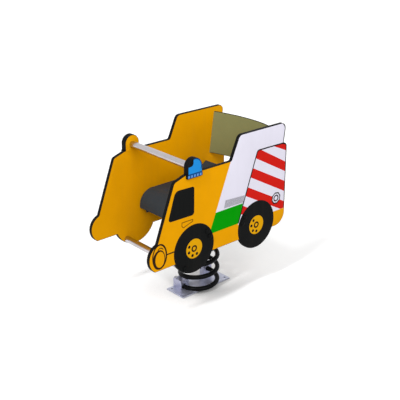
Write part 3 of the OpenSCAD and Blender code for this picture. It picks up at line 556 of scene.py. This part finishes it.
def beaconOutline(dome, domeR, skirtFrom, skirtTo, skirtLow, skirtTop, skirtR, **rest):
    # skirt with eased corners, then the half circle of the dome over it
    skirt = [(skirtFrom, skirtTop), (skirtFrom, skirtLow), (skirtTo, skirtLow), (skirtTo, skirtTop)]
    return np.vstack([roundedPath(skirt, skirtR, 5), [(dome[0] + domeR, skirtTop)],
                      arcPoints(dome, domeR, 0, 180, 48), [(dome[0] - domeR, skirtTop)]])


def beaconPrints():
    # slots: 2 black lens cell, 3 pale ribs, 4 dark skirt and border of the dome
    s = beaconSettings
    border = arcPoints(s["dome"], s["borderR"], s["borderFrom"], s["borderTo"], 48)
    lens = np.vstack([[s["lensTop"]], roundCorner(s["lensTop"], s["lensCorner"], s["lensSide"][0], s["lensR"], 10),
                      s["lensSide"]])
    cells = [(ribbon(border, s["borderWide"]), 4), (lens, 2), (rectangle(*s["skirtPrint"]), 4)]
    return cells + [(rectangle(x - s["ribHalf"], x + s["ribHalf"], s["ribLow"], s["ribTop"]), 3) for x in s["ribs"]]


for side, node in ((-1, "left_beacon"), (1, "right_beacon")):
    low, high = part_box(node)
    outer, inner = (low[1], high[1]) if side < 0 else (high[1], low[1])
    plate = boardMesh(node.split("_")[0] + "BeaconPlate", beaconOutline(**beaconSettings), outer / mm, inner / mm,
                      beaconSettings["arris"], onPanel, [beaconBlue, coreBlack, printBlack, beaconPale, beaconDark],
                      beaconPrints(), flip=side > 0)
    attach(plate, "rider")
    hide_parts(node)
print("beacons built")

# seat: one bent sheet, rolled at the front and rising at the back

seatSettings = dict(arris=2.4, thick=8.0, rollR=80.0, lip=13.0, riseX=62.0, riseR=315.0, riseAngle=35.6,
                    endRound=2.0, lipReach=2.2, riseReach=0.4)
seatLow, seatHigh = (np.array(corner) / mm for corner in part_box("seat"))
# centres of the roll at the front and of the rise at the back
seatRoll = (seatLow[0] + seatSettings["rollR"], seatLow[2] + seatSettings["lip"])
seatRise = (seatSettings["riseX"], seatRoll[1] + seatSettings["rollR"] + seatSettings["riseR"])


def seatOutline(thick, rollR, riseR, riseAngle, endRound, **rest):
    # outer face from the lip over the roll and along the flat to the rise, then back along the under face
    end = -90 + riseAngle
    top = np.vstack([arcPoints(seatRoll, rollR, 180, 90, 36), arcPoints(seatRise, riseR, -90, end, 40)])
    under = np.vstack([arcPoints(seatRise, riseR + thick, end, -90, 40),
                       arcPoints(seatRoll, rollR - thick, 90, 180, 36)])
    lipLow = np.array([(seatLow[0] + thick, seatLow[2]), (seatLow[0], seatLow[2])])
    points = np.vstack([top, under, lipLow])[::-1]
    sharp = np.isin(np.arange(len(points)), [0, 1, len(points) - len(top), len(points) - len(top) - 1])
    return roundedPath(points, np.where(sharp, endRound, 0.0), 5)


def seatWall(middle):  # the broad faces are grey, the ends of the sheet show its core
    away = np.degrees(np.arctan2(*(middle - np.array(seatRise)).T[::-1]))
    atLip = middle[:, 1] < seatLow[2] + seatSettings["lipReach"]
    atRise = away > -90 + seatSettings["riseAngle"] - seatSettings["riseReach"]
    atRise &= middle[:, 0] > seatRise[0]
    return np.where(atLip | atRise, 1, 0)


seatSheet = boardMesh("seatSheet", seatOutline(**seatSettings), seatLow[1], seatHigh[1], seatSettings["arris"],
                      lambda u, v, h: np.column_stack([u, h, v]), [seatGrey, coreBlack], backSlot=1, wallSlot=seatWall)
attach(seatSheet, "rider")
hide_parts("seat")

# backrest: band of a circle in plan, leaning back

backSettings = dict(arris=2.4, thick=8.0, frontR=437.0, halfWidth=gapHalf - 0.5, tall=226.0,  # 0.5 clear of a panel
                    lean=8.0, behind=509.0, above=247.5, endReach=0.2)


def backOutline(thick, frontR, halfWidth, **rest):
    # outer arc to the rider's right, inner arc back to the left
    centre = (-np.sqrt(frontR ** 2 - gapHalf ** 2), 0.0)
    far, near = (np.degrees(np.arcsin(halfWidth / r)) for r in (frontR + thick, frontR))
    return np.vstack([arcPoints(centre, frontR + thick, -far, far, 56), arcPoints(centre, frontR, near, -near, 56)])


def leanBack(u, v, h):  # turns the upright sheet back about its foot
    a = np.radians(backSettings["lean"])
    return np.column_stack([frontAxle[0] + backSettings["behind"] + u * np.cos(a) + h * np.sin(a), v,
                            frontAxle[1] + backSettings["above"] - u * np.sin(a) + h * np.cos(a)])


def backWall(middle):  # the broad faces are olive, the ends at the panels show the core
    return np.where(abs(middle[:, 1]) > backSettings["halfWidth"] - backSettings["endReach"], 0, 1)


backSheet = boardMesh("backrestSheet", backOutline(**backSettings), backSettings["tall"], 0.0, backSettings["arris"],
                      leanBack, [coreBlack, backOlive], backSlot=0, rimSlot=0, wallSlot=backWall)
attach(backSheet, "rider")
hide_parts("backrest")
print("seat and backrest built")

# hand and foot bars: drawn tubes between the panels

barSettings = dict(wall=2.6, chamfer=0.8, sides=96)
for node in ("handlebar", "footrest"):
    low, high = (np.array(corner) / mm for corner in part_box(node))
    x, z, r = (low[0] + high[0]) / 2, (low[2] + high[2]) / 2, (high[0] - low[0]) / 2
    c, bore = barSettings["chamfer"], r - barSettings["wall"]
    # closed profile of radius and place along Y, turned round the bar's axis
    ring = np.array([(r, low[1] + c), (r, high[1] - c), (r - c, high[1]),
                     (bore, high[1]), (bore, low[1]), (r - c, low[1])])
    a = np.linspace(0, 2 * np.pi, barSettings["sides"], endpoint=False)
    along = np.broadcast_to(ring[:, 1:], (len(ring), len(a)))
    grid = np.dstack([x + ring[:, :1] * np.cos(a), along, z + ring[:, :1] * np.sin(a)])
    tube = gridMesh(node + "Tube", grid, drawnSkin, closedRows=True)
    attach(tube, "rider")
    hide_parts(node)
print("bars built")

# coil: round wire on an eased helix, in a lower and an upper half

coilSettings = dict(turns=6 - 100 / 360, start=140.0, meanR=97.0, wireR=12.0, pitch=70.0, ease=0.45,
                    lowZ=18.3, highZ=387.36, sides=24, perTurn=48, endRound=1.8,
                    endTurn=0.008, overlapTurn=0.0015, slopeTurn=0.002)
endAngles = np.radians([0, 30, 60, 90])  # steps of the quarter round at a true end of the wire


def wirePlace(u, turns, start, meanR, pitch, ease, lowZ, highZ, **rest):
    # helix of mean radius; the rise grows with the square of the turn at each end, then evenly
    def rise(t):
        return np.where(t < ease, np.clip(t, 0, None) ** 2 / (2 * ease), t - ease / 2)
    a = np.radians(start + 360 * u)
    z = np.where(u < turns / 2, lowZ + pitch * rise(u), highZ - pitch * rise(turns - u))
    return np.column_stack([meanR * np.cos(a), meanR * np.sin(a), z])


def wireGrid(u, roundFirst, wireR, sides, endRound, slopeTurn, **rest):
    # ring of points round each place of the wire, square to its run; its true end is eased to a small round
    place = wirePlace(u, **coilSettings)
    run = wirePlace(u + slopeTurn, **coilSettings) - wirePlace(u - slopeTurn, **coilSettings)
    run /= np.linalg.norm(run, axis=1)[:, None]
    out = place * [1, 1, 0]
    out /= np.linalg.norm(out, axis=1)[:, None]
    up = np.cross(out, run)
    size = np.full(len(u), wireR)
    ends = wireR - endRound * (1 - np.sin(endAngles))
    if roundFirst:
        size[:len(ends)] = ends
    else:
        size[-len(ends):] = ends[::-1]
    b = np.linspace(0, 2 * np.pi, sides, endpoint=False)[None, :, None]
    return place[:, None] + size[:, None, None] * (np.cos(b) * out[:, None] + np.sin(b) * up[:, None])


turns, endTurn, overlapTurn = (coilSettings[key] for key in ("turns", "endTurn", "overlapTurn"))
halfCount = int(turns / 2 * coilSettings["perTurn"])
endSteps = coilSettings["endRound"] * (1 - np.cos(endAngles)) / (2 * np.pi * coilSettings["meanR"])
lowerTurns = np.concatenate([endSteps, np.linspace(endTurn, turns / 2 + overlapTurn, halfCount)])
upperTurns = np.concatenate([np.linspace(turns / 2 - overlapTurn, turns - endTurn, halfCount), turns - endSteps[::-1]])
lowerCoil = gridMesh("lowerCoil", wireGrid(lowerTurns, True, **coilSettings), springBlack, capEnds=True)
upperCoil = gridMesh("upperCoil", wireGrid(upperTurns, False, **coilSettings), springBlack, capEnds=True)
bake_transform(lowerCoil)
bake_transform(upperCoil)
for half in (lowerCoil, upperCoil):
    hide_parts("coil_spring")
print("coil built")

# finishes of the machined pieces that stay as they are

nodeFinishes = {
    zincSkin: ["base_plate", "handlebar_plugs", "footrest_plugs"],
    zincBlock: ["lower_front_clamp", "lower_rear_clamp", "upper_front_clamp", "upper_rear_clamp"],
    zincBolt: ["lower_clamp_bolts", "upper_clamp_bolts"],
    boltSteel: ["left_panel_bolts", "right_panel_bolts", "left_back_screws", "right_back_screws"],
    frameCharcoal: ["head_plate", "front_rail", "rear_rail", "left_bearer", "right_bearer",
                    "left_back_bracket", "right_back_bracket"],
    # the beacon screw heads take the inner faces' yellow, which is painted lighter as painted light
    innerYellowPaintedLight: ["left_beacon_screws", "right_beacon_screws"],
    capGrey: ["seat_bolts"],
    capBlack: ["left_bolt_caps", "right_bolt_caps"],
}
for finish, names in nodeFinishes.items():
    for name in names:
        mesh = nodes[name].data
        mesh.materials.clear()
        mesh.materials.append(finish)
print("node finishes set")

# floor, light and camera

stageSettings = dict(floorSize=60.0, floorShade=0.42, floorSeen=0.84, floorLift=0.25,
                     contactReach=0.3, contactLean=(0.0, 0.3, 0.954), skyLevel=0.68,
                     keyReach=(0.76, 0.88, 1.0, 1.12, 1.24), keySide=0.19, keyLevel=0.35, keySpread=4.0,
                     fillFrom=(-1.8, -4.9, 4.2), fillTo=(0.0, 0.0, 0.5), fillSize=3.4, fillPower=165.0)


def seenDirectly(tree):  # 1 for the camera's rays and for those that mirror or pass on to the background
    path = put(tree, "ShaderNodeLightPath")
    mirrored = mathNode(tree, "MAXIMUM", path.outputs["Is Glossy Ray"], path.outputs["Is Transmission Ray"])
    return mathNode(tree, "MAXIMUM", path.outputs["Is Camera Ray"], mirrored)


edge = stageSettings["floorSize"] / 2
floorCorners = [(-edge, -edge, 0), (edge, -edge, 0), (edge, edge, 0), (-edge, edge, 0)]
floorMesh = bpy.data.meshes.new("floor")
floorMesh.from_pydata(floorCorners, [], [(0, 1, 2, 3)])
floor = addObject("floor", floorMesh)
floorFinish = bpy.data.materials.new("floorWhite")
floorFinish.use_nodes = True
tree = floorFinish.node_tree
tree.nodes.clear()
matte = put(tree, "ShaderNodeBsdfDiffuse", {"Color": (stageSettings["floorShade"],) * 3 + (1.0,)})
# painted shade: an occlusion node darkens the floor's seen colour and glow close to the base, its hemisphere leaned
# towards +y
lean = put(tree, "ShaderNodeCombineXYZ", dict(enumerate(stageSettings["contactLean"]))).outputs[0]
contact = put(tree, "ShaderNodeAmbientOcclusion", {"Distance": stageSettings["contactReach"], "Normal": lean})
openShare = contact.outputs["AO"]
paper = put(tree, "ShaderNodeBsdfDiffuse", {"Color": mathNode(tree, "MULTIPLY", openShare, stageSettings["floorSeen"])})
lift = put(tree, "ShaderNodeEmission", {"Strength": mathNode(tree, "MULTIPLY", openShare, stageSettings["floorLift"])})
shown = put(tree, "ShaderNodeAddShader", {0: paper.outputs[0], 1: lift.outputs[0]})
mixed = put(tree, "ShaderNodeMixShader", {0: seenDirectly(tree), 1: matte.outputs[0], 2: shown.outputs[0]})
put(tree, "ShaderNodeOutputMaterial", {"Surface": mixed.outputs[0]})
floorMesh.materials.append(floorFinish)

world = bpy.data.worlds.new("studio")
bpy.context.scene.world = world
world.use_nodes = True
tree = world.node_tree
tree.nodes.clear()
sky = put(tree, "ShaderNodeBackground", {"Color": (1, 1, 1, 1), "Strength": stageSettings["skyLevel"]})
white = put(tree, "ShaderNodeBackground", {"Color": (1, 1, 1, 1), "Strength": 1.0})
mixed = put(tree, "ShaderNodeMixShader", {0: seenDirectly(tree), 1: sky.outputs[0], 2: white.outputs[0]})
put(tree, "ShaderNodeOutputWorld", {"Surface": mixed.outputs[0]})

# long key light before the truck: lamps in a row, each as far ahead and aside per unit of height as the settings say
for index, reach in enumerate(stageSettings["keyReach"]):
    keyData = bpy.data.lights.new("keyLight%d" % index, "SUN")
    keyData.energy = stageSettings["keyLevel"]
    keyData.angle = np.radians(stageSettings["keySpread"])
    key = addObject("keyLight%d" % index, keyData)
    key.rotation_euler = Vector((-reach, -stageSettings["keySide"], 1)).to_track_quat("Z", "Y").to_euler()

fillData = bpy.data.lights.new("fillLight", "AREA")
fillData.size = stageSettings["fillSize"]
fillData.energy = stageSettings["fillPower"]
fill = addObject("fillLight", fillData)
fill.location = stageSettings["fillFrom"]
fillAim = Vector(stageSettings["fillFrom"]) - Vector(stageSettings["fillTo"])
fill.rotation_euler = fillAim.to_track_quat("Z", "Y").to_euler()

cameraSettings = dict(place=(-2.4695, -2.7705, 1.9846), right=(0.74521, -0.66683, 0.0), up=(0.25096, 0.28046, 0.92648),
                      back=(-0.6178, -0.6904, 0.3764), lens=71.5, sensor=36.0)
cameraData = bpy.data.cameras.new("camera")
cameraData.lens = cameraSettings["lens"]
cameraData.sensor_width = cameraSettings["sensor"]
camera = addObject("camera", cameraData)
axes = Matrix((cameraSettings["right"], cameraSettings["up"], cameraSettings["back"])).transposed()
camera.matrix_world = Matrix.Translation(cameraSettings["place"]) @ axes.to_4x4()
bpy.context.scene.camera = camera
bpy.context.scene.view_settings.view_transform = "Standard"
print("stage set")
